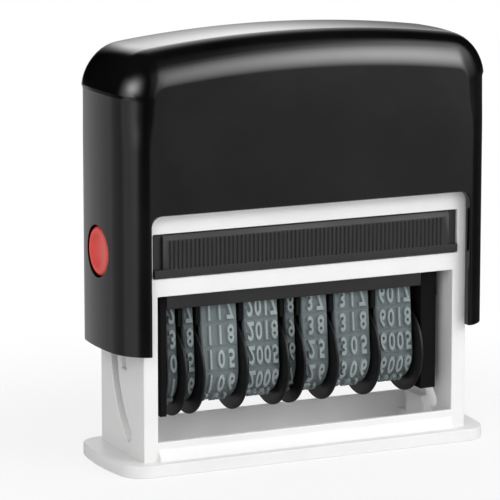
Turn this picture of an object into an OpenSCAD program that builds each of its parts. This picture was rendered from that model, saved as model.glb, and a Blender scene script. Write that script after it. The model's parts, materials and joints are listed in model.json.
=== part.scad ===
// Self-inking band stamp: a press-down cap turns a carrier of number bands from the ink pad to the paper.
// Millimetres, +Z up, front towards -Y, origin on the desk under the middle of the base.

/* [Outline] */
// Room from an end wall of the frame to the outside of the bowed end
end_room = 5.2; // [4:0.1:7]
// Room between the faces of the frame and the cap's walls
face_room = 1; // [0.6:0.1:2]
// Radius of the bowed ends in plan
end_bow_r = 53; // [45:1:80]
// Radius of the upright corners in plan
corner_r = 5; // [3.5:0.5:6]

/* [Cap] */
// Press travel of the cap
travel = 19; // [17:0.5:21]
// Gap that is left over the base when the cap is pressed
foot_gap = 2.5; // [1:0.1:4]
// Room that is left over the deck when the cap is pressed
press_room = 2.5; // [1.5:0.1:5]
// Height of the crown over the seats under the roof
crown_rise = 5.8; // [5:0.1:8]
// Wall of the cap
cap_wall = 1.8; // [1.2:0.1:2.2]
// Radius of the crown in the front view
crown_r = 250; // [180:10:400]
// Radius of the shoulders over the bowed ends
shoulder_r = 10.5; // [8:0.5:12]
// Rounding between the crown and the front and back faces
rim_r = 7; // [4:0.5:8]
// How far the legs lap over the front edges of the end walls
notch_lap = 0.8; // [0.6:0.1:2]
// Height of the front and back notches above the pad opening
notch_rise = 4; // [3:0.1:6]
// Corner radius of the notches
notch_r = 2.2; // [1:0.2:4]

/* [Frame] */
// Thickness of the end walls
end_wall = 3.1; // [2.5:0.1:3.4]
// Thickness of the front and back walls
face_wall = 2; // [1.6:0.1:2.2]
// Thickness of the base flange
base_t = 2.5; // [2:0.1:3]
// Thickness of the base rails
rail_t = 1; // [0.8:0.1:1.1]
// Height of the rails' top edge
sill = 6.2; // [5:0.2:6.6]
// Height of the crease where the outer ramp of a rail ends
ramp_top = 4.7; // [3.6:0.1:4.8]
// How far the ramp stands out at its foot
ramp_out = 1.4; // [0.6:0.1:1.6]
// Height of the bar between the window and the pad opening
front_bar_h = 3.6; // [2.8:0.1:4]
// Height of the pad opening
pad_open_h = 8.7; // [8:0.1:9.4]
// How far the pad opening cuts into each end wall
pad_open_extra = 1; // [0.6:0.1:1.6]
// Height of the deck over the pad opening
deck_rise = 10.6; // [9:0.1:13]
// Thickness of the deck
deck_t = 2.4; // [1.6:0.2:3]

/* [Carrier] */
// Distance of the type face from the pivot
reach = 9.85; // [9.4:0.05:11]
// Distance of the wheel axle from the pivot
axle_drop = 10.65; // [10.4:0.05:11]
// Radius of the wheel axle
axle_r = 1.5; // [1.2:0.1:2]
// Thickness of the cheeks
cheek_t = 1.4; // [1.2:0.1:1.6]
// Extra thickness of the right cheek, which fills the end of the stack
end_block = 2; // [1:0.1:3]
// Half depth of the cheeks and guide rails
carrier_half_d = 7.25; // [7.05:0.05:7.3]
// Thickness of the guide rails
guide_t = 1.35; // [1:0.05:1.4]
// Height of the guide rails
guide_h = 2.8; // [2:0.1:3.2]
// Radius of the pivot pins
pivot_r = 1.3; // [1:0.1:1.4]
// Distance of the cam pins from the pivot
cam_e = 4.2; // [4.1:0.1:4.4]
// Angle of the cam pins from upright at rest, towards the back
cam_lead = 40; // [30:1:50]
// Radius of the cam pins
cam_r = 1.3; // [1:0.05:1.35]
// Thickness of the drive arms
arm_t = 1.2; // [1:0.1:1.4]

/* [Wheels and bands] */
// Widths of the wheel units from the left, band and disc together
unit_w = [3.7, 3.8, 9.4, 9.0, 3.6, 7.3, 9.4, 9.6]; // [3:0.1:12]
// Radius of the thumb discs
disc_r = 9.3; // [8.6:0.1:9.5]
// Thickness of the thumb discs
disc_t = 1; // [0.8:0.1:1.2]
// Outer radius of a band round its wheel, without the type
band_r = 6.4; // [6:0.1:6.6]
// Thickness of a band
band_t = 1.2; // [0.8:0.1:1.4]
// Height of the raised type
type_h = 0.55; // [0.3:0.05:0.7]
// Half depth of the print face
print_half_d = 4.6; // [4:0.1:4.8]
// Radius of a band at the edges of the print face
print_edge_r = 2; // [1.6:0.1:2.4]

/* [Ink pad, button, spring] */
// Diameter of the lock button
button_d = 9.8; // [8:0.2:10.4]
// Height of the lock button's centre over the foot of the cap
button_rise = 19.1; // [14:0.1:26]
// How far the lock button pushes in
button_push = 1.1; // [0.6:0.1:1.2]
// Pitch of the grip ribs on the pad
grip_pitch = 0.9; // [0.8:0.1:2]
// Wire diameter of the return spring
wire_d = 0.9; // [0.6:0.1:1]
// Mean diameter of the return spring
coil_d = 9.2; // [8:0.2:10]
// Turns of the return spring
coil_turns = 8; // [6:1:9]

/* [Hidden] */
$fn = 64;
cut = 1;
// Clearances
run_gap = 0.06;
slide_gap = 0.3;
side_gap = 0.2;
press_gap = 0.02;
carrier_gap = 0.4;
disc_gap = 0.3;
wall_gap = 0.4;

// Places of the wheel units along the axle
units = len(unit_w);
function sum_to(n) = n == 0 ? 0 : unit_w[n - 1] + sum_to(n - 1);
stack_half = (sum_to(units) + end_block) / 2;
function unit_left(i) = sum_to(i) - stack_half;
function disc_x(i) = unit_left(i + 1) - disc_t / 2;

// Stations across the width, from the middle out
cheek_in = stack_half + side_gap;
cheek_out = cheek_in + cheek_t;
right_in = cheek_in - end_block;
arm_in = cheek_out + slide_gap;
arm_out = arm_in + arm_t;
wall_in = arm_out + wall_gap;
wall_out = wall_in + end_wall;
base_open_x = cheek_out + carrier_gap;

// Heights of the turning carrier: the type meets the pad at rest and the paper when pressed
pivot_z = travel + reach;
type_z = pivot_z + reach;
axle_z = pivot_z - axle_drop;
// Heights over the pivot
band_top = reach - type_h;
guide_drop = 3.6;
guide_rise = band_top - guide_drop;
bridge_gap = 0.25;
core_half_d = print_half_d - band_t - bridge_gap;
core_top = band_top - band_t - bridge_gap;
core_h = 3.25;
fin_t = 0.8;
fin_drop = 0.7;
fin_top = band_top - fin_drop;
fin_h = fin_top + axle_drop - disc_r - slide_gap;

// Heights of the frame and the cap
pad_sill = type_z;
pad_top = pad_sill + pad_open_h;
window_top = pad_sill - front_bar_h;
deck_top = pad_top + deck_rise;
roof_seat = deck_top + travel + press_room;
cap_top = roof_seat + crown_rise;
cap_foot = base_t + travel + foot_gap;
notch_top = pad_top + notch_rise;
button_z = cap_foot + button_rise;

// Depths, from the turning carrier out
rail_in = max(disc_r + disc_gap, norm([carrier_half_d, guide_rise]) + slide_gap);
frame_half_d = rail_in + rail_t;
face_in = frame_half_d - face_wall;
half_d = frame_half_d + face_room + cap_wall;
half_w = wall_out + end_room;
bow_x = half_w - end_bow_r;
notch_half = wall_out - notch_lap;

// Cap
end_lip = 0.15;
shoulder_x = half_w + end_lip - shoulder_r;
crown_z = cap_top - crown_r;
crown_band = 20;
crown_turn = asin((half_w + 2 * cut) / (crown_r - crown_band));
body_top = cap_top - 0.75 * crown_band;
// Angle above level at which a shoulder meets the crown
meet_turn = 74;
meet_x = shoulder_x + shoulder_r * cos(meet_turn);
shoulder_z = crown_z + sqrt(pow(crown_r, 2) - pow(meet_x, 2)) - shoulder_r * sin(meet_turn);
function roof_z(x, in) = x < shoulder_x
    ? crown_z + sqrt(pow(crown_r - in, 2) - x * x)
    : shoulder_z + sqrt(pow(shoulder_r - in, 2) - pow(x - shoulder_x, 2));
function end_x(y, in) = bow_x + sqrt(pow(end_bow_r - in, 2) - y * y);
guide_rib_t = 1.6;
guide_rib_lift = 2;
end_rib_y = 8.2;
face_rib_x = 20;
spring_stub_h = 4;
arm_seat_in = 2;
arm_seat_out = 1;

// Drive arm outline about the pivot
eye_r = cam_e - cam_r - carrier_gap;
arm_front = -4.8;
arm_back = 4;
arm_step_gap = 1;
arm_step = cam_e * cos(cam_lead) + cam_r + arm_step_gap;

// Pad
pad_gap = 0.2;
pad_half_w = wall_in + pad_open_extra - pad_gap;
pad_proud = 0.5;
pad_front = -frame_half_d - pad_proud;
tray_side_gap = 0.8;
tray_half_w = arm_in - tray_side_gap;
tray_back = face_in - pad_gap;
felt_z = type_z + slide_gap;
felt_t = 3.6;
felt_wall = 1.3;
felt_half_w = tray_half_w - felt_wall;
ledge_w = 1.2;
ledge_t = 1.4;
felt_half_d = face_in - ledge_w;

// Spring and its well
well_gap = 0.9;
well_r = coil_d / 2 + wire_d / 2 + well_gap;
well_wall = 1.5;
well_lift = 1;
well_floor = pad_top + well_lift;
well_floor_t = 1.2;
spring_foot = well_floor + well_floor_t;
rings_a_turn = 8;
wire_sides = 6;

// Lock button
button_inset = 0.3;
stem_y = -0.8;
stem_w = 2;
flange_lip = 1;
flange_r = button_d / 2 + flange_lip;
flange_front = end_x(flange_r, cap_wall) - slide_gap;
flange_t = 0.6;
latch_run_out = 3.8;

// Shared shapes

// A box between two corners
module span(low, high) {
    translate(low) cube(high - low);
}

// A side-view outline (x is depth, y is height) carried across the width
module across(x_low, x_high) {
    translate([x_low, 0, 0]) rotate([90, 0, 90]) linear_extrude(x_high - x_low) children();
}

// A front-view outline (x is width, y is height) carried through the depth
module through(y_low, y_high) {
    translate([0, y_high, 0]) rotate([90, 0, 0]) linear_extrude(y_high - y_low) children();
}

// Plan of the cap and base: bowed ends, flat faces, rounded corners
module plan(in = 0) {
    bow = end_bow_r - in;
    d = half_d - in;
    c = corner_r - in;
    cy = d - c;
    cx = bow_x + sqrt(pow(bow - c, 2) - pow(cy, 2));
    lean = [cx - bow_x, cy] / (bow - c);
    wedge = [[cx, cy], [cx, cy + 2 * c], [cx + 2 * c, cy + 2 * c], [cx, cy] + 2 * c * lean];
    difference() {
        intersection() {
            square([2 * half_w, 2 * d], center = true);
            translate([bow_x, 0]) circle(bow, $fn = 128);
            translate([-bow_x, 0]) circle(bow, $fn = 128);
        }
        for (sx = [-1, 1], sy = [-1, 1]) polygon([for (p = wedge) [sx * p.x, sy * p.y]]);
    }
    for (sx = [-1, 1], sy = [-1, 1]) translate([sx * cx, sy * cy]) circle(c);
}

// Half section of a round slab with rounded rims, from an inner to an outer radius
module rim_section(inner, outer, d, m) {
    translate([inner, -d]) square([outer - m - inner, 2 * d]);
    translate([inner, m - d]) square([outer - inner, 2 * (d - m)]);
    intersection() {
        for (s = [-1, 1]) translate([outer - m, s * (d - m)]) circle(m);
        translate([inner, -d]) square([outer - inner, 2 * d]);
    }
}

// Crown with rounded rims over straight faces, longer than the cap
module slab(in = 0, foot = cap_foot) {
    far = 3 * crown_r * [sin(crown_turn), cos(crown_turn)];
    d = half_d - in;
    intersection() {
        translate([0, 0, crown_z]) rotate([90, 0, 0])
            rotate_extrude($fn = 256) rim_section(crown_r - crown_band, crown_r - in, d, rim_r - in);
        through(-half_d - cut, half_d + cut) translate([0, crown_z])
            polygon([[0, 0], far, [-far.x, far.y]]);
    }
    span([-half_w - cut, -d, foot], [half_w + cut, d, body_top]);
}

// Half section of the round body that gives one bowed end its shoulder, about the axis of the bow
module shoulder_section(in, foot) {
    lead = 78;
    rise = 15;
    r = shoulder_r - in;
    centre = [end_bow_r + end_lip - shoulder_r, shoulder_z];
    top = centre + r * [cos(lead), sin(lead)];
    polygon([
        [0, foot],
        [centre.x + r, foot],
        [centre.x + r, centre.y],
        centre,
        top,
        [0, top.y + top.x * tan(rise)]
    ]);
    translate(centre) circle(r);
}

// The slab trimmed by the plan and by the shoulder of each end
module cap_form(in = 0, foot = cap_foot) {
    intersection() {
        slab(in, foot);
        translate([0, 0, foot]) linear_extrude(cap_top - foot + cut) plan(in);
        translate([bow_x, 0, 0]) rotate_extrude($fn = 256) shoulder_section(in, foot - cut);
        translate([-bow_x, 0, 0]) rotate_extrude($fn = 256) shoulder_section(in, foot - cut);
    }
}

// Place of the cam pin, as [depth, height], after a turn of the carrier by a degrees
function cam_at(a) = [
    cam_e * sin(cam_lead + a),
    pivot_z - travel * a / 180 + cam_e * cos(cam_lead + a)
];
// Unit normal of the cam pin's path
function cam_side(a) =
    let (t = cam_at(a + 0.5) - cam_at(a - 0.5))
    [t.y, -t.x] / norm(t);

// The S slot that leads a cam pin through half a turn
module cam_slot() {
    w = cam_r + slide_gap;
    turn = [for (a = [0 : 9 : 180]) a];
    back = [for (i = [len(turn) - 1 : -1 : 0]) turn[i]];
    polygon(concat(
        [for (a = turn) cam_at(a) + w * cam_side(a)],
        [for (a = back) cam_at(a) - w * cam_side(a)]
    ));
    translate(cam_at(0)) circle(w);
    translate(cam_at(180)) circle(w);
}

// Outline of a band loop round its wheel and over the print edges, grown by g
wheel_c = [0, axle_z];
edge_c = [print_half_d - print_edge_r, pivot_z + band_top - print_edge_r];
edge_run = norm(edge_c - wheel_c);
edge_dir = atan2(edge_c.y - wheel_c.y, edge_c.x) - acos((band_r - print_edge_r) / edge_run);
wheel_steps = 32;
edge_steps = 8;
function arc(c, r, from, to, steps) =
    [for (k = [0 : steps]) let (a = from + (to - from) * k / steps) c + r * [cos(a), sin(a)]];
module loop(g = 0) {
    w = band_r + g;
    e = print_edge_r + g;
    polygon(concat(
        arc(wheel_c, w, 180 - edge_dir, 360 + edge_dir, wheel_steps),
        arc(edge_c, e, edge_dir, 90, edge_steps),
        arc([-edge_c.x, edge_c.y], e, 90, 180 - edge_dir, edge_steps)
    ));
}

// Frame body

module frame() {
    pad_x = wall_in + pad_open_extra;
    color("whitesmoke") difference() {
        union() {
            linear_extrude(base_t) plan();
            span([-wall_out, -frame_half_d, 0], [wall_out, frame_half_d, deck_top]);
            for (s = [0, 1]) mirror([0, s, 0]) rail_ramp();
        }
        // Room for the carrier, down to the paper
        span([-base_open_x, -rail_in, -cut], [base_open_x, rail_in, base_t + cut]);
        span([-wall_in, -rail_in, base_t], [wall_in, rail_in, window_top]);
        span([-wall_in, -face_in, base_t], [wall_in, face_in, deck_top - deck_t]);
        // Windows front and back, pad opening in front
        span([-wall_in, -half_d, sill], [wall_in, half_d, window_top]);
        span([-pad_x, -half_d, pad_sill], [pad_x, -face_in + cut, pad_top]);
        for (s = [-1, 1]) translate([s * (arm_in + arm_out) / 2, 0, 0]) arm_slot();
        translate([0, 0, spring_foot]) cylinder(r = well_r, h = deck_top);
        across(-wall_out - cut, -wall_in + cut) cam_slot();
        across(wall_in - cut, wall_out + cut) cam_slot();
        latch_groove();
    }
    color("whitesmoke") {
        spring_well();
        for (s = [0, 1]) mirror([s, 0, 0]) cam_boss();
        span([-wall_in, face_in - ledge_w, pad_sill - ledge_t], [wall_in, face_in, pad_sill]);
    }
}

// Sloping foot along the outside of a base rail
module rail_ramp() {
    across(-wall_in, wall_in) polygon([
        [-frame_half_d, base_t - cut],
        [-frame_half_d - ramp_out, base_t - cut],
        [-frame_half_d - ramp_out, base_t],
        [-frame_half_d, ramp_top]
    ]);
}

// Slot in the deck for a drive arm
module arm_slot() {
    w = arm_t + 2 * slide_gap;
    span(
        [-w / 2, arm_front - slide_gap, deck_top - deck_t - cut],
        [w / 2, arm_back + slide_gap, deck_top + cut]
    );
}

// Upright groove in the left end wall for the stem of the lock button
module latch_groove() {
    w = stem_w + 2 * slide_gap;
    span(
        [-wall_out - cut, stem_y - w / 2, button_z - travel - stem_w / 2 - latch_run_out],
        [-wall_out + button_push, stem_y + w / 2, button_z + w]
    );
}

// Cup under the deck that holds the foot of the spring
module spring_well() {
    difference() {
        translate([0, 0, well_floor])
            cylinder(r = well_r + well_wall, h = deck_top - well_floor - deck_t / 2);
        translate([0, 0, spring_foot]) cylinder(r = well_r, h = deck_top);
    }
}

// Low block inside an end wall, slotted for the cam pin
module cam_boss() {
    boss_front = -1.9;
    boss_back = 6;
    boss_top = pivot_z - travel - eye_r - slide_gap;
    difference() {
        span([base_open_x, boss_front, base_t - cut / 2], [wall_in, boss_back, boss_top]);
        across(base_open_x - cut, wall_in + cut) cam_slot();
    }
}

module ink_pad_tray() {
    lip_h = 1.6;
    lip_in = 1.8;
    plate_t = 1.9;
    slant = [0.5, 0.9];
    back_t = 0.9;
    grip_margin = 1.6;
    grip_deep = 0.3;
    low = pad_sill + pad_gap;
    high = pad_top - pad_gap;
    grip_n = floor((pad_half_w - lip_in - grip_margin) / grip_pitch);
    face = pad_front + grip_deep;
    tub_front = pad_front + plate_t;
    color("dimgray") difference() {
        union() {
            // Front plate with a wider lower lip, a thin plate behind the finger gaps and a slanted top
            span([-pad_half_w, pad_front, low], [pad_half_w, tub_front, low + lip_h]);
            span([-pad_half_w, tub_front - back_t, low], [pad_half_w, tub_front, high]);
            across(lip_in - pad_half_w, pad_half_w - lip_in) polygon([
                [tub_front, low],
                [face, low],
                [face, high - slant.y],
                [face + slant.x, high],
                [tub_front, high]
            ]);
            for (i = [-grip_n : grip_n]) translate([i * grip_pitch, 0, 0]) span(
                [-grip_pitch / 4, pad_front, low + lip_h],
                [grip_pitch / 4, face + slant.x, high - slant.y - grip_deep]
            );
            // Tub for the felt
            span([-tray_half_w, tub_front, low], [tray_half_w, tray_back, high]);
        }
        span(
            [-felt_half_w, -felt_half_d, low - cut],
            [felt_half_w, felt_half_d, felt_z + felt_t]
        );
    }
}

module ink_pad_felt() {
    color("darkslategray") span(
        [press_gap - felt_half_w, press_gap - felt_half_d, felt_z],
        [felt_half_w - press_gap, felt_half_d - press_gap, felt_z + felt_t]
    );
}

// Coil spring from the well to the roof seat, one unbroken tube
spring_rise = roof_seat - spring_foot - wire_d;
spring_pitch = spring_rise / coil_turns;
function coil_at(t) = [
    coil_d / 2 * cos(360 * t),
    coil_d / 2 * sin(360 * t),
    spring_foot + wire_d / 2 + spring_pitch * t
];
function coil_ring(t) =
    let (out = [cos(360 * t), sin(360 * t), 0])
    let (run = [-PI * coil_d * sin(360 * t), PI * coil_d * cos(360 * t), spring_pitch])
    let (up = cross(out, run) / norm(run))
    [for (k = [0 : wire_sides - 1])
        coil_at(t) + wire_d / 2 * (cos(360 * k / wire_sides) * out + sin(360 * k / wire_sides) * up)];
coil_rings = round(coil_turns * rings_a_turn);
function turn_of(i) = coil_turns * i / coil_rings;
coil_points = [for (i = [0 : coil_rings]) each coil_ring(turn_of(i))];
coil_gap = min([for (i = [0 : coil_rings], j = [i + rings_a_turn / 2 : 1 : coil_rings])
    norm(coil_at(turn_of(i)) - coil_at(turn_of(j)))]) - wire_d;
echo(spring_gap_to_itself = coil_gap);

module return_spring() {
    last = coil_rings * wire_sides;
    color("silver") polyhedron(coil_points, concat(
        [for (k = [1 : wire_sides - 2]) [0, k, k + 1]],
        [for (i = [0 : coil_rings - 1], k = [0 : wire_sides - 1])
            let (a = i * wire_sides + k, b = i * wire_sides + (k + 1) % wire_sides)
            each [[a, a + wire_sides, b], [b, a + wire_sides, b + wire_sides]]],
        [for (k = [1 : wire_sides - 2]) [last, last + k + 1, last + k]]
    ));
}

// Cap body

module cap() {
    color("#1c1d1f") {
        difference() {
            cap_form();
            cap_form(cap_wall, cap_foot - cut);
            through(-half_d - cut, half_d + cut) notch();
            translate([-half_w - cut, 0, button_z]) rotate([0, 90, 0])
                cylinder(d = button_d + 2 * slide_gap, h = cap_wall * 2 + cut);
        }
        cap_ribs();
        roof_seats();
    }
}

// Front-view outline of the notch that leaves the two legs
module notch() {
    inner = notch_half - notch_r;
    translate([-notch_half, 0]) square([2 * notch_half, notch_top - notch_r]);
    translate([-inner, 0]) square([2 * inner, notch_top]);
    for (s = [-1, 1]) translate([s * inner, notch_top - notch_r]) circle(notch_r);
}

// Ribs inside the cap that run along the ends and the back of the frame
module cap_ribs() {
    mid_wall = cap_wall / 2;
    half = guide_rib_t / 2;
    for (s = [0, 1], y = [-end_rib_y, end_rib_y]) mirror([s, 0, 0]) span(
        [wall_out + slide_gap, y - half, cap_foot + guide_rib_lift],
        [end_x(end_rib_y + half, mid_wall), y + half, shoulder_z]
    );
    for (x = [-face_rib_x, face_rib_x]) span(
        [x - half, frame_half_d + slide_gap, notch_top + cap_wall],
        [x + half, half_d - mid_wall, shoulder_z]
    );
}

// Seats under the roof for the spring and the two drive arms
module roof_seats() {
    mid_wall = cap_wall / 2;
    translate([0, 0, roof_seat]) cylinder(r = well_r, h = roof_z(0, mid_wall) - roof_seat);
    translate([0, 0, roof_seat - spring_stub_h])
        cylinder(r = coil_d / 2 - wire_d / 2 - slide_gap, h = spring_stub_h + cut);
    for (s = [0, 1]) mirror([s, 0, 0]) span(
        [arm_in - arm_seat_in, arm_front, roof_seat],
        [arm_out + arm_seat_out, arm_back, roof_z(arm_out + arm_seat_out, mid_wall)]
    );
}

// Arm from the roof to the pivot pin: it passes in front of the cam pin's path
module drive_arm(side) {
    x_low = side < 0 ? -arm_out : arm_in;
    color("#26282a") difference() {
        across(x_low, x_low + arm_t) {
            translate([0, pivot_z]) circle(eye_r);
            translate([arm_front, pivot_z]) square([-arm_front, arm_step + cut]);
            translate([arm_front, pivot_z + arm_step])
                square([arm_back - arm_front, roof_seat - pivot_z - arm_step]);
        }
        translate([x_low - cut, 0, pivot_z]) rotate([0, 90, 0])
            cylinder(r = pivot_r + run_gap, h = arm_t + 2 * cut);
    }
}

module lock_button() {
    face = button_inset - half_w;
    dish_r = 14;
    dish_deep = 0.5;
    color("#d23f38") difference() {
        union() {
            translate([face, 0, button_z]) rotate([0, 90, 0])
                rotate_extrude() button_section(-flange_front - face);
            span(
                [-flange_front + flange_t / 2, stem_y - stem_w / 2, button_z - stem_w / 2],
                [-wall_out - slide_gap, stem_y + stem_w / 2, button_z + stem_w / 2]
            );
        }
        translate([face - dish_r + dish_deep, 0, button_z]) sphere(r = dish_r);
    }
}

// Half section of the button along its push: rounded head, then a flange behind the cap's wall
module button_section(back) {
    edge = 0.6;
    r = button_d / 2;
    square([r - edge, back + flange_t]);
    translate([0, edge]) square([r, back + flange_t - edge]);
    translate([r - edge, edge]) circle(edge);
    translate([0, back]) square([flange_r, flange_t]);
}

// Carrier body

// End plate of the carrier with its cam pin
module cheek(side) {
    x_low = side < 0 ? -cheek_out : right_in;
    thick = side < 0 ? cheek_t : cheek_out - right_in;
    pin_end = wall_out - carrier_gap;
    pin_x = side < 0 ? -pin_end : cheek_in;
    toe = axle_drop + carrier_half_d + type_h;
    color("#202224") difference() {
        union() {
            across(x_low, x_low + thick) translate([0, pivot_z]) {
                translate([-carrier_half_d, -axle_drop]) square([2 * carrier_half_d, axle_drop + guide_rise]);
                translate([-carrier_half_d, -toe]) square([carrier_half_d, toe]);
                translate([0, -axle_drop]) circle(carrier_half_d);
                translate([-print_half_d, 0]) square([2 * print_half_d, fin_top]);
            }
            translate([pin_x, cam_at(0).x, cam_at(0).y]) rotate([0, 90, 0])
                cylinder(r = cam_r, h = pin_end - cheek_in);
        }
        cross_hole(x_low, thick, pivot_z, pivot_r + press_gap);
        cross_hole(x_low, thick, axle_z, axle_r + press_gap);
    }
}

// Hole through a cheek
module cross_hole(x_low, thick, z, r) {
    translate([x_low - cut, 0, z]) rotate([0, 90, 0]) cylinder(r = r, h = thick + 2 * cut);
}

module pivot_pin(side) {
    x_low = side < 0 ? -arm_out : right_in;
    x_high = side < 0 ? -cheek_in : arm_out;
    color("silver") translate([x_low, 0, pivot_z]) rotate([0, 90, 0])
        cylinder(r = pivot_r, h = x_high - x_low);
}

module wheel_axle() {
    color("silver") translate([-cheek_out, 0, axle_z]) rotate([0, 90, 0])
        cylinder(r = axle_r, h = 2 * cheek_out);
}

// Bar inside the band loops that backs the type, with a fin between each pair of bands
module print_bridge() {
    fin_half_d = carrier_half_d - guide_t;
    color("#202224") {
        translate([0, 0, pivot_z])
            span([-cheek_in, -core_half_d, core_top - core_h], [right_in, core_half_d, core_top]);
        for (i = [0 : units - 2]) translate([disc_x(i), 0, pivot_z])
            span([-fin_t / 2, -fin_half_d, fin_top - fin_h], [fin_t / 2, fin_half_d, fin_top]);
    }
}

module guide_rail(side) {
    color("#26282a") mirror([0, side < 0 ? 0 : 1, 0]) span(
        [-cheek_in, -carrier_half_d, pivot_z + guide_rise - guide_h],
        [right_in, guide_t - carrier_half_d, pivot_z + guide_rise]
    );
}

// Thumb disc and drum, turned in one piece
module number_wheel(i) {
    left = unit_left(i) + (i == 0 ? 0 : side_gap);
    drum_len = disc_x(i) - disc_t / 2 - left;
    drum_r = band_r - band_t - side_gap;
    bore = axle_r + run_gap;
    taper = [1.2, 0.25];
    color("#17181a") translate([left, 0, axle_z]) rotate([0, 90, 0]) rotate_extrude() difference() {
        union() {
            square([drum_r, drum_len + disc_t]);
            translate([0, drum_len]) polygon([
                [0, 0],
                [disc_r - taper.x, 0],
                [disc_r, taper.y],
                [disc_r, disc_t - taper.y],
                [disc_r - taper.x, disc_t],
                [0, disc_t]
            ]);
        }
        translate([0, -cut]) square([bore, drum_len + disc_t + 2 * cut]);
    }
}

module number_band(i) {
    left = unit_left(i) + 2 * side_gap;
    right = disc_x(i) - disc_t / 2 - side_gap;
    color("#6d7977") across(left, right) difference() {
        loop();
        loop(-band_t);
    }
}

frame();
ink_pad_tray();
ink_pad_felt();
return_spring();
cap();
drive_arm(-1);  // drive_arm_left
drive_arm(1);  // drive_arm_right
lock_button();
cheek(-1);  // cheek_left
cheek(1);  // cheek_right
pivot_pin(-1);  // pivot_pin_left
pivot_pin(1);  // pivot_pin_right
wheel_axle();
print_bridge();
guide_rail(-1);  // guide_rail_front
guide_rail(1);  // guide_rail_back
for (i = [0 : units - 1]) number_wheel(i);
for (i = [0 : units - 1]) number_band(i);
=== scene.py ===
"""Looks of a self-inking band stamp: press-down cap, frame, number bands on thumb wheels, ink pad."""

import json
import math

import bmesh
import bpy
from mathutils import Matrix, Vector


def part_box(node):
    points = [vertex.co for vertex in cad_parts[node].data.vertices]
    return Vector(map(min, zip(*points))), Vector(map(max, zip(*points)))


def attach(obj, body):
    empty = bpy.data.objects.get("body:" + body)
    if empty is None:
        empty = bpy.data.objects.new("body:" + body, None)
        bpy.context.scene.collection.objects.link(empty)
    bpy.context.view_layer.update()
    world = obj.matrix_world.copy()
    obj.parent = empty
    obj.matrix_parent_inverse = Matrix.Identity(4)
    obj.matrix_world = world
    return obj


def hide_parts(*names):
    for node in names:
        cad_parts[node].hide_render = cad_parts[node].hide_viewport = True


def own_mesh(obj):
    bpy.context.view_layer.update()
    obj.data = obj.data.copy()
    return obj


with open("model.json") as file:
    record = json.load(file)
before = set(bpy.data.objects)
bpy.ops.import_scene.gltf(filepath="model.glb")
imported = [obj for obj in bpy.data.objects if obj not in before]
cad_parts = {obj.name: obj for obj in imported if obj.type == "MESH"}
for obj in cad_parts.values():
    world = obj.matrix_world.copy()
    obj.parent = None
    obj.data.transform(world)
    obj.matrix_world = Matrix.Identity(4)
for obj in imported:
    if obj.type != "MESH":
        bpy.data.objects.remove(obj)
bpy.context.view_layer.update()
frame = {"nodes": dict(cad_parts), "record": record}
scene = bpy.context.scene

MM = 0.001
WELD = 0.001 * MM
Y_AXIS = Vector((0, 1, 0))
Z_AXIS = Vector((0, 0, 1))
BANDS = range(1, 9)
ONE_DIGIT_BANDS = (1, 2, 5)

# Sizes of the cap
cap_low, cap_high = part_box("cap")
half_w = cap_high.x
half_d = cap_high.y
end_bow_r = 53 * MM
crown_r = 250 * MM
cross_crown_r = 150 * MM
shoulder_r = 9.4 * MM
face_edge_r = 6.6 * MM
cap_wall = 1.8 * MM
notch_half = 34.7 * MM
notch_top = 51.4 * MM
notch_r = 2.2 * MM
button_low, button_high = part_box("lock_button")
button_z = (button_low.z + button_high.z) / 2
button_hole_r = 5.2 * MM

# Sizes of the band loops
wheel_low, wheel_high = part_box("number_wheel_1")
band_low, band_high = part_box("number_band_1")
axle_z = (wheel_low.z + wheel_high.z) / 2
band_r = band_high.y
print_half_d = 4.6 * MM
print_edge_r = 2 * MM
type_h = 0.55 * MM
plinth_h = 0.16 * MM
digit_wide = 1.75 * MM
digit_tall = 3.9 * MM
digit_pitch = 2.25 * MM
row_line_z = 23.1 * MM
row_pitch_wanted = 4.75 * MM
row_gap = 0.3 * MM


# Mesh helpers

def piece_from(bm, name, material):
    """A new object from a finished bmesh, with one material."""
    mesh = bpy.data.meshes.new(name)
    bm.to_mesh(mesh)
    bm.free()
    piece = bpy.data.objects.new(name, mesh)
    scene.collection.objects.link(piece)
    mesh.materials.append(material)
    return piece


def shade(piece, sharp_angle=35):
    """Smooth shading that keeps true corners and lets large flat faces stay flat."""
    mesh = piece.data
    mesh.polygons.foreach_set("use_smooth", [True] * len(mesh.polygons))
    mesh.set_sharp_from_angle(angle=math.radians(sharp_angle))
    return flatten_faces(piece)


def flatten_faces(piece):
    """Large faces keep their own direction up to their edges."""
    flat = piece.modifiers.new("flat_faces", "WEIGHTED_NORMAL")
    flat.keep_sharp = True
    flat.weight = 60
    return piece


def soften(bm, radius, steps=2, over=32):
    """Rounds every edge that bends by more than an angle in degrees."""
    bmesh.ops.connect_verts_concave(bm, faces=[f for f in bm.faces if len(f.verts) > 4])
    limit = math.radians(over)
    sharp = [e for e in bm.edges if len(e.link_faces) == 2 and e.calc_face_angle() > limit]
    bmesh.ops.bevel(bm, geom=sharp, offset=radius, offset_type="OFFSET", segments=steps, profile=0.5,
                    affect="EDGES", clamp_overlap=False, material=-1)


def moulded(node, name, body, material, edge_r):
    """A copy of a CAD node with its edges rounded, which stands for the node."""
    bm = bmesh.new()
    bm.from_mesh(frame["nodes"][node].data)
    bmesh.ops.remove_doubles(bm, verts=bm.verts, dist=WELD)
    bmesh.ops.dissolve_limit(bm, angle_limit=math.radians(0.4), verts=bm.verts, edges=bm.edges)
    soften(bm, edge_r)
    piece = shade(piece_from(bm, name, material))
    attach(piece, body)
    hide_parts(node)


def only(kind, geom):
    """The elements of one kind, such as vertices."""
    return [g for g in geom if isinstance(g, kind)]


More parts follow.
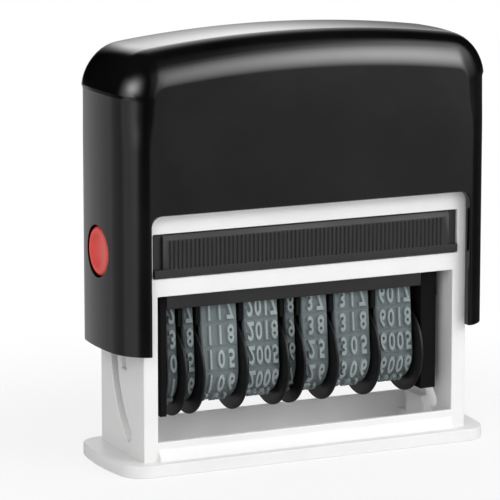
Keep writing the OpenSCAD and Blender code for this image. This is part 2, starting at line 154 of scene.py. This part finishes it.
def turn(bm, tip, centre, degrees, steps):
    """Carries a vertex round an axis along Y and gives back the far end."""
    made = bmesh.ops.spin(bm, geom=tip, cent=centre, axis=Y_AXIS, dvec=(0, 0, 0),
                          angle=math.radians(degrees), steps=steps, use_duplicate=False)
    return only(bmesh.types.BMVert, made["geom_last"])


def rise(bm, tip, by):
    """Carries a vertex straight up or down and gives back the far end."""
    made = bmesh.ops.extrude_vert_indiv(bm, verts=tip)["verts"]
    bmesh.ops.translate(bm, verts=made, vec=(0, 0, by))
    return made


def carve(piece, tool):
    """Cuts a closed tool piece, which is used up, out of a piece."""
    cut = piece.modifiers.new("carve", "BOOLEAN")
    cut.object = tool
    cut.operation = "DIFFERENCE"
    cut.solver = "EXACT"
    graph = bpy.context.evaluated_depsgraph_get()
    cut_mesh = bpy.data.meshes.new_from_object(piece.evaluated_get(graph))
    piece.modifiers.clear()
    piece.data = cut_mesh
    bpy.data.objects.remove(tool)


slot_of = {row["node"]: row["material_slot"] for row in frame["record"]["subparts"]}


# Materials

def new_material(name):
    material = bpy.data.materials.new(name)
    material.use_nodes = True
    tree = material.node_tree
    shader = tree.nodes["Principled BSDF"]
    return material, tree, shader


def noise_at(tree, scale, detail=3.0):
    """Noise on the piece's own coordinates, with a scale in grains a metre."""
    place = tree.nodes.new("ShaderNodeTexCoord")
    noise = tree.nodes.new("ShaderNodeTexNoise")
    noise.inputs["Scale"].default_value = scale
    noise.inputs["Detail"].default_value = detail
    tree.links.new(place.outputs["Object"], noise.inputs["Vector"])
    return noise


def spread(tree, value, low, high):
    """Maps a noise value to a range."""
    remap = tree.nodes.new("ShaderNodeMapRange")
    remap.inputs["From Min"].default_value = 0.3
    remap.inputs["From Max"].default_value = 0.7
    remap.inputs["To Min"].default_value = low
    remap.inputs["To Max"].default_value = high
    tree.links.new(value, remap.inputs["Value"])
    return remap.outputs["Result"]


def relief(tree, shader, height, depth_mm):
    """Bump from a height value."""
    bump = tree.nodes.new("ShaderNodeBump")
    bump.inputs["Strength"].default_value = 1
    bump.inputs["Distance"].default_value = depth_mm * MM
    tree.links.new(height, bump.inputs["Height"])
    tree.links.new(bump.outputs["Normal"], shader.inputs["Normal"])


def tint(tree, shader, value, dark, light):
    """Base colour between two shades."""
    ramp = tree.nodes.new("ShaderNodeValToRGB")
    ramp.color_ramp.elements[0].position = 0.35
    ramp.color_ramp.elements[0].color = (*dark, 1)
    ramp.color_ramp.elements[1].position = 0.65
    ramp.color_ramp.elements[1].color = (*light, 1)
    tree.links.new(value, ramp.inputs["Fac"])
    tree.links.new(ramp.outputs["Color"], shader.inputs["Base Color"])


def moulded_finish(name, dark, light, rough, grain, depth_mm, metallic=0.0, specular=0.5):
    """A surface with a faint colour drift, uneven gloss and a fine grain."""
    material, tree, shader = new_material(name)
    shader.inputs["Metallic"].default_value = metallic
    shader.inputs["Specular IOR Level"].default_value = specular
    drift = noise_at(tree, 60)
    fine = noise_at(tree, grain, 4)
    tint(tree, shader, drift.outputs["Fac"], dark, light)
    tree.links.new(spread(tree, drift.outputs["Fac"], *rough), shader.inputs["Roughness"])
    relief(tree, shader, fine.outputs["Fac"], depth_mm)
    return material


# Dark and light shade, range of roughness, grains a metre, depth of the grain in mm
black_gloss = moulded_finish(
    "black_gloss", (0.0025, 0.0025, 0.003), (0.0045, 0.0045, 0.0052), (0.1, 0.16), 900, 0.002)
white_plastic = moulded_finish(
    "white_plastic", (0.8, 0.8, 0.8), (0.84, 0.84, 0.835), (0.34, 0.44), 2500, 0.006)
black_satin = moulded_finish(
    "black_satin", (0.004, 0.004, 0.0045), (0.007, 0.007, 0.0075), (0.32, 0.46), 3000, 0.008)
# A darker copy of black satin: matt roughness, and a darker colour that is painted shade for pieces that sit
# in shadow
black_matt_painted_shade = moulded_finish(
    "black_matt_painted_shade", (0.0015, 0.0015, 0.0015), (0.003, 0.003, 0.003), (0.6, 0.8), 3000, 0.01, specular=0.15)
wheel_black = moulded_finish(
    "wheel_black", (0.004, 0.004, 0.0045), (0.007, 0.007, 0.0075), (0.36, 0.5), 3000, 0.008, specular=0.3)
pad_plastic = moulded_finish(
    "pad_plastic", (0.008, 0.0082, 0.009), (0.012, 0.0122, 0.013), (0.46, 0.6), 4000, 0.012)
red_plastic = moulded_finish(
    "red_plastic", (0.8, 0.06, 0.045), (0.88, 0.075, 0.058), (0.28, 0.38), 3000, 0.006)
band_rubber = moulded_finish(
    "band_rubber", (0.10, 0.125, 0.128), (0.15, 0.18, 0.183), (0.5, 0.7), 3500, 0.03)
# Darker copies of the band rubber and its type for the narrow one-digit bands: painted shade, where the discs
# beside them shadow them
band_rubber_painted_shade = moulded_finish(
    "band_rubber_painted_shade", (0.055, 0.07, 0.072), (0.085, 0.105, 0.107), (0.5, 0.7), 3500, 0.03)
type_rubber_painted_shade = moulded_finish(
    "type_rubber_painted_shade", (0.13, 0.155, 0.158), (0.2, 0.23, 0.235), (0.5, 0.7), 3500, 0.03)
type_rubber = moulded_finish(
    "type_rubber", (0.22, 0.26, 0.265), (0.34, 0.385, 0.39), (0.5, 0.7), 3500, 0.03)
steel = moulded_finish(
    "steel", (0.5, 0.5, 0.52), (0.62, 0.62, 0.63), (0.25, 0.4), 5000, 0.004, metallic=1.0)
felt = moulded_finish(
    "felt", (0.012, 0.012, 0.016), (0.03, 0.03, 0.036), (0.85, 1.0), 6000, 0.12)

finish_of_slot = {
    "white_plastic": white_plastic,
    "black_gloss": black_gloss,
    "black_satin": black_satin,
    "pad_plastic": pad_plastic,
    "pad_felt": felt,
    "red_plastic": red_plastic,
    "band_rubber": band_rubber,
    "steel": steel,
    "spring_steel": steel,
}
for node, piece in frame["nodes"].items():
    piece.data.materials.clear()
    piece.data.materials.append(finish_of_slot[slot_of[node]])


# Cap

lip_out = 0.3 * MM
lip_undercut = 0.08 * MM
flare_h = 1 * MM
flare_stops = (1, 0.72, 0)
shoulder_steps = 10
crown_steps = 48
face_edge_steps = 14
shoulder_x = half_w + lip_out + lip_undercut - shoulder_r
crown_z = cap_high.z - crown_r
shoulder_z = crown_z + math.sqrt((crown_r - shoulder_r) ** 2 - shoulder_x ** 2)
meet_turn = math.degrees(math.atan2(shoulder_z - crown_z, shoulder_x))
bow_start = 30 * MM

# The upright corners narrow to a share of the round edge, over a height below a level under the shoulder
upright_share = 0.78
upright_top = 74 * MM
upright_blend = 10 * MM
upright_stops = [z * MM for z in (64, 66, 68, 70)]


def clamp(share):
    """A share kept between 0 and 1."""
    return min(max(share, 0), 1)


def ease(share):
    """Smooth step from 0 to 1."""
    share = clamp(share)
    return share * share * (3 - 2 * share)


def lip_of(inset):
    """Place of the crisp line over an end wall: its half width, its turn on the shoulder and its height."""
    wall = half_w + lip_out - inset
    r = shoulder_r - inset
    wall_turn = math.degrees(math.acos((wall - shoulder_x) / r))
    return wall, wall_turn, shoulder_z + r * math.sin(math.radians(wall_turn))


def front_outline(bm, inset, depth, foot):
    """Front view of the cap as one face: straight ends, a shoulder over each end, a crown between them."""
    wall, wall_turn, lip_z = lip_of(inset)
    stops = [foot] + upright_stops + [lip_z - share * flare_h for share in flare_stops]
    tip = [bm.verts.new((wall, depth, foot))]
    for low, high in zip(stops, stops[1:]):
        tip = rise(bm, tip, high - low)
    tip = turn(bm, tip, (shoulder_x, depth, shoulder_z), wall_turn - meet_turn, shoulder_steps)
    tip = turn(bm, tip, (0, depth, crown_z), 2 * (meet_turn - 90), crown_steps)
    tip = turn(bm, tip, (-shoulder_x, depth, shoulder_z), wall_turn - meet_turn, shoulder_steps)
    for low, high in zip(stops[-2::-1], stops[::-1]):
        tip = rise(bm, tip, low - high)
    bmesh.ops.remove_doubles(bm, verts=bm.verts, dist=WELD)
    bmesh.ops.contextual_create(bm, geom=[v for v in bm.verts if len(v.link_edges) == 1])
    return bmesh.ops.edgeloop_fill(bm, edges=bm.edges[:])["faces"]


def settle(v, inset):
    """Moves a point of the plain form: narrow uprights, a lip over the ends, bowed ends, a cross crown."""
    wall, _, lip_z = lip_of(inset)
    flat = half_w + lip_out - face_edge_r
    x = abs(v.co.x)
    if x > flat - WELD:
        from_flat = (x - flat) / (wall - flat)
        narrowing = (1 - upright_share) * ease((upright_top - v.co.z) / upright_blend)
        x = wall - (1 - narrowing) * (wall - x)
        drop = clamp((lip_z - v.co.z) / flare_h)
        x -= from_flat * lip_out * drop * (2 - drop)
    bow = end_bow_r - math.sqrt(end_bow_r ** 2 - v.co.y ** 2)
    x -= ease((x - bow_start) / (half_w - bow_start)) * bow
    v.co.x = math.copysign(x, v.co.x)
    at_top = clamp((v.co.z - notch_top) / (cap_high.z - notch_top))
    v.co.z -= at_top * v.co.y ** 2 / (2 * cross_crown_r)


def cap_form(inset=0):
    """Front view carried through the depth, with one round edge along its faces."""
    bm = bmesh.new()
    depth = half_d - inset
    foot = cap_low.z - inset
    face = front_outline(bm, inset, -depth, foot)
    made = bmesh.ops.extrude_face_region(bm, geom=face)["geom"]
    bmesh.ops.translate(bm, verts=only(bmesh.types.BMVert, made), vec=(0, 2 * depth, 0))
    bmesh.ops.recalc_face_normals(bm, faces=bm.faces)
    edge = [
        e for e in bm.edges
        if abs(e.verts[0].co.y - e.verts[1].co.y) < WELD and max(v.co.z for v in e.verts) > foot + WELD
    ]
    bmesh.ops.bevel(bm, geom=edge, offset=face_edge_r - inset, offset_type="OFFSET", segments=face_edge_steps,
                    profile=0.5, affect="EDGES", clamp_overlap=False, material=-1)
    cut_gap = 0.23 * (half_d - face_edge_r)
    for k in range(-4, 5):
        bmesh.ops.bisect_plane(bm, geom=bm.verts[:] + bm.edges[:] + bm.faces[:],
                               plane_co=(0, k * cut_gap, 0), plane_no=Y_AXIS)
    for v in bm.verts:
        settle(v, inset)
    return piece_from(bm, "cap_form", black_gloss)


def rounded_notch():
    """The opening in the front and back of the cap: a block right through it that flares at the faces."""
    bm = bmesh.new()
    flare = 0.25 * MM
    past = 3 * MM
    low = cap_low.z - 10 * MM
    size = Vector((2 * notch_half, 2 * (half_d - flare), notch_top - low))
    middle = Vector((0, 0, (notch_top + low) / 2))
    bmesh.ops.create_cube(bm, size=1)
    bmesh.ops.scale(bm, verts=bm.verts, vec=size)
    bmesh.ops.translate(bm, verts=bm.verts, vec=middle)
    upper = [
        e for e in bm.edges
        if min(v.co.z for v in e.verts) > notch_top - WELD and abs(e.verts[0].co.x - e.verts[1].co.x) < WELD
    ]
    bmesh.ops.bevel(bm, geom=upper, offset=notch_r, offset_type="OFFSET", segments=10, profile=0.5,
                    affect="EDGES", material=-1)
    for side in (-1, 1):
        mouth = [f for f in bm.faces if f.normal.y * side > 0.9]
        for grow in (flare, past):
            made = bmesh.ops.extrude_face_region(bm, geom=mouth)["geom"]
            bmesh.ops.delete(bm, geom=mouth, context="FACES_ONLY")
            mouth = only(bmesh.types.BMFace, made)
            rim = only(bmesh.types.BMVert, made)
            wider = Vector((1 + 2 * grow / size.x, 1, 1 + 2 * grow / size.z))
            bmesh.ops.scale(bm, verts=rim, vec=wider, space=Matrix.Translation(-middle))
            bmesh.ops.translate(bm, verts=rim, vec=(0, side * grow, 0))
    bmesh.ops.recalc_face_normals(bm, faces=bm.faces)
    return piece_from(bm, "cap_notch", black_gloss)


def button_hole():
    """A rod through the left end wall."""
    bm = bmesh.new()
    bmesh.ops.create_cone(bm, cap_ends=True, segments=64, radius1=button_hole_r, radius2=button_hole_r,
                          depth=12 * MM)
    bmesh.ops.rotate(bm, verts=bm.verts, matrix=Matrix.Rotation(math.radians(90), 3, "Y"))
    bmesh.ops.translate(bm, verts=bm.verts, vec=(-half_w, 0, button_z))
    return piece_from(bm, "cap_hole", black_gloss)


def cap_shell():
    """The hollow cap with its notches and button hole; the line over each end wall stays crisp."""
    shell = cap_form()
    for tool in (cap_form(cap_wall), rounded_notch(), button_hole()):
        carve(shell, tool)
    bm = bmesh.new()
    bm.from_mesh(shell.data)
    bpy.data.objects.remove(shell)
    bmesh.ops.remove_doubles(bm, verts=bm.verts, dist=WELD)
    for e in bm.edges:
        bend = math.degrees(e.calc_face_angle(0))
        e.smooth = not (9.5 < bend < 40 or bend > 60)
    for f in bm.faces:
        f.smooth = True
    cap = flatten_faces(piece_from(bm, "cap_shell", black_gloss))
    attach(cap, "cap")
    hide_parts("cap")


cap_shell()


# Moulded pieces that keep their CAD form

# The narrow one-digit bands take the darker copies of rubber and type: painted shade from the discs beside
# them
rubber_of = {i: band_rubber_painted_shade if i in ONE_DIGIT_BANDS else band_rubber for i in BANDS}
type_of = {i: type_rubber_painted_shade if i in ONE_DIGIT_BANDS else type_rubber for i in BANDS}

moulded("frame", "frame_moulding", "frame", white_plastic, 0.22 * MM)
moulded("ink_pad_tray", "pad_cartridge", "ink_pad", pad_plastic, 0.1 * MM)
moulded("lock_button", "red_button", "lock_button", red_plastic, 0.08 * MM)
for i in BANDS:
    moulded(f"number_wheel_{i}", f"thumb_wheel_{i}", f"wheel_{i}", wheel_black, 0.12 * MM)
    moulded(f"number_band_{i}", f"rubber_band_{i}", "carrier", rubber_of[i], 0.1 * MM)
for node in ("guide_rail_front", "guide_rail_back"):
    moulded(node, node + "_moulding", "carrier", black_satin, 0.15 * MM)
# The cheeks and print bridge take the darker matt black: painted shade, as they sit in shadow beside and
# under the bands
for node in ("cheek_left", "cheek_right", "print_bridge"):
    moulded(node, node + "_moulding", "carrier", black_matt_painted_shade, 0.15 * MM)
for side in ("left", "right"):
    moulded(f"drive_arm_{side}", f"drive_arm_{side}_moulding", "cap", black_satin, 0.12 * MM)


# Rows of raised type on the bands

# A band runs over two small edges at the print face and round the drum; the loop is a list of runs and arcs
edge_y = print_half_d - print_edge_r
edge_z = band_high.z - print_edge_r
edge_run = math.hypot(edge_y, edge_z - axle_z)
strand = math.sqrt(edge_run ** 2 - (band_r - print_edge_r) ** 2)
edge_dir = math.atan2(edge_z - axle_z, edge_y) - math.acos((band_r - print_edge_r) / edge_run)
loop_parts = [
    ("run", edge_y),
    ("arc", Vector((0, -edge_y, edge_z)), print_edge_r, math.pi / 2, math.pi / 2 - edge_dir),
    ("run", strand),
    ("arc", Vector((0, 0, axle_z)), band_r, math.pi - edge_dir, math.pi + 2 * edge_dir),
    ("run", strand),
    ("arc", Vector((0, edge_y, edge_z)), print_edge_r, 2 * math.pi + edge_dir, math.pi / 2 - edge_dir),
    ("run", edge_y),
]
loop_len = sum(part[1] if part[0] == "run" else part[2] * part[4] for part in loop_parts)
row_count = round(loop_len / row_pitch_wanted)
row_pitch = loop_len / row_count


def on_loop(along):
    """Point and outward direction on a band, a length from the middle of its top towards the front."""
    along %= loop_len
    point = Vector((0, 0, band_high.z))
    facing = math.pi / 2
    for part in loop_parts:
        length = part[1] if part[0] == "run" else part[2] * part[4]
        step = min(along, length)
        along -= step
        if part[0] == "run":
            point = point + step * Vector((0, -math.sin(facing), math.cos(facing)))
        else:
            facing = part[3] + step / part[2]
            point = part[1] + part[2] * Vector((0, math.cos(facing), math.sin(facing)))
        if along <= 0:
            break
    return point, Vector((0, math.cos(facing), math.sin(facing)))


def lay_on_loop(bm, template, across, along, lift):
    """Adds a flat template to a band: its X goes across, its Y along the loop and its Z outwards."""
    first = len(bm.verts)
    bm.from_mesh(template)
    bm.verts.ensure_lookup_table()
    for v in bm.verts[first:]:
        point, out = on_loop(along + v.co.y)
        v.co = Vector((across + v.co.x, 0, 0)) + point + (v.co.z + lift) * out


def cut_across(bm, length, cuts):
    """Cuts a flat mesh into strips, so that it can be bent."""
    for k in range(1, cuts):
        bmesh.ops.bisect_plane(bm, geom=bm.verts[:] + bm.edges[:] + bm.faces[:],
                               plane_co=(0, length * (k / cuts - 0.5), 0), plane_no=Y_AXIS)


def as_template(bm, name):
    """A mesh to be laid on the bands again and again."""
    mesh = bpy.data.meshes.new(name)
    bm.to_mesh(mesh)
    bm.free()
    return mesh


def digit_template(digit):
    """One plain digit with drafted sides, flat, with its middle at the origin."""
    font_weight = 0.045
    font_wide = 0.58
    draft = 0.09 * MM
    curve = bpy.data.curves.new(f"digit_{digit}", "FONT")
    curve.body = str(digit)
    curve.resolution_u = 3
    curve.offset = font_weight
    writing = bpy.data.objects.new(f"digit_{digit}", curve)
    scene.collection.objects.link(writing)
    bpy.context.view_layer.update()
    graph = bpy.context.evaluated_depsgraph_get()
    mesh = bpy.data.meshes.new_from_object(writing.evaluated_get(graph))
    bpy.data.objects.remove(writing)
    bm = bmesh.new()
    bm.from_mesh(mesh)
    bmesh.ops.remove_doubles(bm, verts=bm.verts, dist=0.0005)
    xs = [v.co.x for v in bm.verts]
    ys = [v.co.y for v in bm.verts]
    bmesh.ops.translate(bm, verts=bm.verts, vec=(-(max(xs) + min(xs)) / 2, -(max(ys) + min(ys)) / 2, 0))
    stretch = digit_tall / (max(ys) - min(ys))
    bmesh.ops.scale(bm, verts=bm.verts, vec=(digit_wide / font_wide, stretch, 1))
    cut_across(bm, digit_tall, 7)
    bmesh.ops.inset_region(bm, faces=bm.faces[:], thickness=draft, depth=type_h, use_boundary=True,
                           use_even_offset=False)
    bmesh.ops.reverse_faces(bm, faces=bm.faces)
    return as_template(bm, f"digit_{digit}")


def row_template(wide, long):
    """The low plinth under one row of type."""
    bm = bmesh.new()
    bmesh.ops.create_cube(bm, size=1)
    bmesh.ops.scale(bm, verts=bm.verts, vec=(wide, long, 2 * plinth_h))
    soften(bm, 0.1 * MM, 2, 60)
    cut_across(bm, long, 6)
    bmesh.ops.reverse_faces(bm, faces=bm.faces)
    return as_template(bm, "row")


def row_text(i, k):
    """Number on a row of a band; the narrow bands carry one digit."""
    number = first_number[i] + k
    return str(number % 10 if i in ONE_DIGIT_BANDS else number)


first_number = {1: 0, 2: 5, 3: 105, 4: 2005, 5: 6, 6: 25, 7: 305, 8: 6005}
digits = [digit_template(k) for k in range(10)]
line_drop = edge_y + print_edge_r * (math.pi / 2 - edge_dir)
line_drop += (on_loop(line_drop)[0].z - row_line_z) / math.cos(edge_dir)
for i in BANDS:
    low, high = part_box(f"number_band_{i}")
    wide = high.x - low.x
    middle_x = (high.x + low.x) / 2
    plinth = row_template(wide - row_gap, row_pitch - row_gap)
    rows = bmesh.new()
    type_bm = bmesh.new()
    for k in range(row_count):
        text = row_text(i, k)
        along = line_drop + (k + 0.5) * row_pitch
        lay_on_loop(rows, plinth, middle_x, along, 0)
        step = min((wide - 0.5 * MM) / len(text), digit_pitch)
        for n, digit in enumerate(text):
            across = middle_x + (n - (len(text) - 1) / 2) * step
            lay_on_loop(type_bm, digits[int(digit)], across, along, plinth_h)
    row_piece = shade(piece_from(rows, f"band_rows_{i}", rubber_of[i]))
    type_piece = shade(piece_from(type_bm, f"band_type_{i}", type_of[i]), 40)
    for piece in (row_piece, type_piece):
        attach(piece, "carrier")


# Return spring and felt

def coil():
    """Round wire wound up from the well to the roof seat."""
    low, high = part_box("return_spring")
    wire_r = 0.45 * MM
    coil_r = high.x - wire_r
    turns = 8
    steps = 40
    length = high.z - low.z
    climb = (length - 2 * wire_r) / (turns * steps)
    bm = bmesh.new()
    ring = bmesh.ops.create_circle(bm, segments=12, radius=wire_r)["verts"]
    bmesh.ops.rotate(bm, verts=ring, matrix=Matrix.Rotation(math.radians(90), 3, "X"))
    bmesh.ops.translate(bm, verts=ring, vec=(coil_r, 0, low.z + wire_r))
    bmesh.ops.spin(bm, geom=bm.verts[:] + bm.edges[:], cent=(0, 0, 0), axis=Z_AXIS, dvec=(0, 0, climb),
                   angle=math.tau * turns, steps=turns * steps, use_duplicate=False)
    bmesh.ops.holes_fill(bm, edges=[e for e in bm.edges if e.is_boundary])
    bmesh.ops.recalc_face_normals(bm, faces=bm.faces)
    piece = shade(piece_from(bm, "spring_coil", steel))
    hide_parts("return_spring")
    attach(piece, "frame")
    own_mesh(piece)


def pad():
    """Felt block with soft edges in the tray."""
    low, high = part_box("ink_pad_felt")
    bm = bmesh.new()
    bmesh.ops.create_cube(bm, size=1)
    bmesh.ops.scale(bm, verts=bm.verts, vec=high - low)
    bmesh.ops.translate(bm, verts=bm.verts, vec=(high + low) / 2)
    soften(bm, 0.5 * MM, 4, 60)
    piece = shade(piece_from(bm, "felt_block", felt), 60)
    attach(piece, "ink_pad")
    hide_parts("ink_pad_felt")


coil()
pad()


# Stage, light and camera

def mapped(tree, value, from_low, from_high, to_low, to_high):
    """Smooth step of a value between two levels."""
    remap = tree.nodes.new("ShaderNodeMapRange")
    remap.interpolation_type = "SMOOTHSTEP"
    remap.inputs["From Min"].default_value = from_low
    remap.inputs["From Max"].default_value = from_high
    remap.inputs["To Min"].default_value = to_low
    remap.inputs["To Max"].default_value = to_high
    tree.links.new(value, remap.inputs["Value"])
    return remap.outputs["Result"]


def combine(tree, how, first, second):
    """Sum, product or the like of two values; a number may stand for the second."""
    node = tree.nodes.new("ShaderNodeMath")
    node.operation = how
    tree.links.new(first, node.inputs[0])
    if isinstance(second, (int, float)):
        node.inputs[1].default_value = second
    else:
        tree.links.new(second, node.inputs[1])
    return node.outputs[0]


def product(tree, first, *others):
    """Product of two or more values."""
    for other in others:
        first = combine(tree, "MULTIPLY", first, other)
    return first


def white_floor():
    """A pale floor that takes the shadow and fades out to plain white."""
    bm = bmesh.new()
    bmesh.ops.create_circle(bm, cap_ends=True, segments=96, radius=0.22)
    material, tree, shader = new_material("pale_floor")
    shader.inputs["Base Color"].default_value = (0.9, 0.9, 0.9, 1)
    shader.inputs["Roughness"].default_value = 0.6
    glow = tree.nodes.new("ShaderNodeEmission")
    path = tree.nodes.new("ShaderNodeLightPath")
    mix = tree.nodes.new("ShaderNodeMixShader")
    place = tree.nodes.new("ShaderNodeTexCoord")
    reach = tree.nodes.new("ShaderNodeVectorMath")
    reach.operation = "LENGTH"
    tree.links.new(place.outputs["Object"], reach.inputs[0])
    fade = mapped(tree, reach.outputs["Value"], 0.045, 0.13, 0.8, 1)
    tree.links.new(product(tree, path.outputs["Is Camera Ray"], fade), mix.inputs[0])
    tree.links.new(shader.outputs[0], mix.inputs[1])
    tree.links.new(glow.outputs[0], mix.inputs[2])
    tree.links.new(mix.outputs[0], tree.nodes["Material Output"].inputs[0])
    floor = piece_from(bm, "floor", material)
    floor.visible_glossy = False


white_floor()
scene.view_settings.view_transform = "Standard"


def level_ramp(tree, value, stops):
    """Grey level against a value from -1 to 1."""
    ramp = tree.nodes.new("ShaderNodeValToRGB")
    ramp.color_ramp.interpolation = "EASE"
    places = ramp.color_ramp.elements
    for k, (at, level) in enumerate(stops):
        stop = places[k] if k < 2 else places.new(at / 2 + 0.5)
        stop.position = at / 2 + 0.5
        stop.color = (level, level, level, 1)
    tree.links.new(combine(tree, "ADD", product(tree, value, 0.5), 0.5), ramp.inputs["Fac"])
    return ramp.outputs["Color"]


def studio_world():
    """White for the camera, soft light on plain surfaces, a studio's lit and dark parts in glossy ones."""
    world = bpy.data.worlds.new("studio")
    scene.world = world
    world.use_nodes = True
    tree = world.node_tree
    place = tree.nodes.new("ShaderNodeTexCoord")
    axes = tree.nodes.new("ShaderNodeSeparateXYZ")
    tree.links.new(place.outputs["Generated"], axes.inputs[0])
    x, y, z = (axes.outputs[k] for k in "XYZ")

    # A wide soft light high in front, which fades out to the left
    lift = level_ramp(tree, z, [
        (-0.5, 0.042), (-0.15, 0.05), (-0.11, 0.085), (-0.05, 0.2), (0, 0.3), (0.1, 0.5), (0.2, 0.68),
        (0.3, 0.85), (0.4, 0.98), (0.5, 1), (0.6, 0.9), (0.68, 0.66), (0.8, 0.24), (0.88, 0.06), (1, 0.01),
    ])
    side = level_ramp(tree, x, [
        (-0.35, 0), (-0.15, 0.03), (0, 0.05), (0.08, 0.1), (0.16, 0.24), (0.3, 0.31), (0.36, 0.52),
        (0.4, 0.64), (0.46, 0.98), (0.54, 1), (0.6, 0.8), (0.65, 0.4), (0.75, 0.2), (0.87, 0.15), (1, 0.05),
    ])
    front_level = 9
    front = product(tree, lift, side, front_level, mapped(tree, y, 0.1, -0.2, 0, 1))

    # A small light high at the left, and a pale screen far to the left
    aimed = tree.nodes.new("ShaderNodeVectorMath")
    aimed.operation = "DOT_PRODUCT"
    aimed.inputs[1].default_value = (-0.84, -0.45, 0.3)
    tree.links.new(place.outputs["Generated"], aimed.inputs[0])
    near = combine(tree, "MAXIMUM", aimed.outputs["Value"], 0)
    spot_narrowness = 30
    spot_level = 7.5
    spot = product(tree, combine(tree, "POWER", near, spot_narrowness), spot_level)
    screen = product(tree, mapped(tree, x, -0.76, -0.9, 0, 0.68), mapped(tree, y, 0.25, -0.1, 0, 1),
                     mapped(tree, z, 0.75, 0.5, 0, 1))
    left = combine(tree, "ADD", spot, screen)

    # A light strip low at the back that climbs to the left, brightest at its upper edge
    climb = combine(tree, "ADD", product(tree, combine(tree, "ADD", x, -0.36), 0.75), z)
    strip = level_ramp(tree, climb, [
        (-0.3, 0.08), (0, 0.085), (0.05, 0.125), (0.1, 0.19), (0.15, 0.27), (0.2, 0.45), (0.25, 0.75),
        (0.29, 1), (0.32, 0.67), (0.36, 0.42), (0.45, 0.35), (0.55, 0.29), (0.65, 0.19), (0.75, 0.04),
        (0.85, 0), (1, 0),
    ])
    back = product(tree, strip, mapped(tree, x, 0.4, 0.5, 2.8, 1.1), mapped(tree, x, 0.55, 0.7, 1, 0),
                   mapped(tree, x, 0, 0.3, 0, 1), mapped(tree, y, 0.2, 0.6, 0, 1))

    # The pale floor behind
    floor = product(tree, mapped(tree, x, -0.9, -0.1, 0.36, 0.66), mapped(tree, x, -0.05, 0.1, 1, 0.5),
                    mapped(tree, x, 0.5, 0.65, 1, 0.1), mapped(tree, y, -0.1, 0.1, 0, 1),
                    mapped(tree, z, -0.02, -0.08, 0, 1), mapped(tree, z, -0.36, -0.26, 0.15, 1))

    # The pale floor close by
    close = combine(tree, "MAXIMUM", mapped(tree, y, 0.1, -0.1, 0, 1), mapped(tree, x, 0.4, 0.6, 0, 1))
    close = product(tree, close, mapped(tree, z, -0.22, -0.27, 0, 0.35))

    glossy = tree.nodes.new("ShaderNodeBackground")
    ends = combine(tree, "ADD", combine(tree, "ADD", left, floor), close)
    tree.links.new(combine(tree, "ADD", combine(tree, "ADD", front, back), ends), glossy.inputs["Strength"])
    room = tree.nodes.new("ShaderNodeBackground")
    from_front = mapped(tree, y, -0.9, 0.5, 1.0, 0.5)
    from_right = mapped(tree, x, -0.9, 0.1, 0.88, 1)
    tree.links.new(product(tree, from_front, from_right), room.inputs["Strength"])
    white = tree.nodes["Background"]
    for shader in (glossy, room, white):
        shader.inputs["Color"].default_value = (1, 1, 1, 1)
    path = tree.nodes.new("ShaderNodeLightPath")
    shiny = tree.nodes.new("ShaderNodeMixShader")
    tree.links.new(path.outputs["Is Glossy Ray"], shiny.inputs[0])
    tree.links.new(room.outputs[0], shiny.inputs[1])
    tree.links.new(glossy.outputs[0], shiny.inputs[2])
    seen = tree.nodes.new("ShaderNodeMixShader")
    plain_view = combine(tree, "MAXIMUM", path.outputs["Is Camera Ray"], path.outputs["Is Transmission Ray"])
    tree.links.new(plain_view, seen.inputs[0])
    tree.links.new(shiny.outputs[0], seen.inputs[1])
    tree.links.new(white.outputs[0], seen.inputs[2])
    tree.links.new(seen.outputs[0], tree.nodes["World Output"].inputs[0])


studio_world()


def softbox(name, place, aim, size, power):
    """A soft lamp, in watts, that is not seen itself."""
    lamp = bpy.data.lights.new(name, "AREA")
    lamp.shape = "RECTANGLE"
    lamp.size, lamp.size_y = size
    lamp.energy = power
    box = bpy.data.objects.new(name, lamp)
    scene.collection.objects.link(box)
    box.location = place
    box.rotation_euler = (Vector(aim) - Vector(place)).to_track_quat("-Z", "Y").to_euler()
    box.visible_camera = False
    box.visible_glossy = False


middle = (0, 0, 45 * MM)
softbox("front_key", (0.5, -0.66, 0.46), middle, (0.6, 0.42), 2.5)
softbox("left_front", (-0.5, -0.61, 0.46), middle, (0.14, 0.2), 0.85)
softbox("left_back", (-0.6, 0.49, -0.05), middle, (0.07, 0.5), 0.13)

camera_data = bpy.data.cameras.new("photo_camera")
camera_data.sensor_width = 36
camera_data.lens = 245
camera = bpy.data.objects.new("photo_camera", camera_data)
scene.collection.objects.link(camera)
view_turn = math.radians(25.373)
view_rise = math.radians(10.798)
view_run = 679.5 * MM
view_aim = Vector((-6.26, 2.99, 39.99)) * MM
level_way = Vector((-math.sin(view_turn), -math.cos(view_turn), 0))
towards = level_way * math.cos(view_rise) + Z_AXIS * math.sin(view_rise)
camera.location = view_aim + towards * view_run
camera.rotation_euler = (-towards).to_track_quat("-Z", "Y").to_euler()
scene.camera = camera
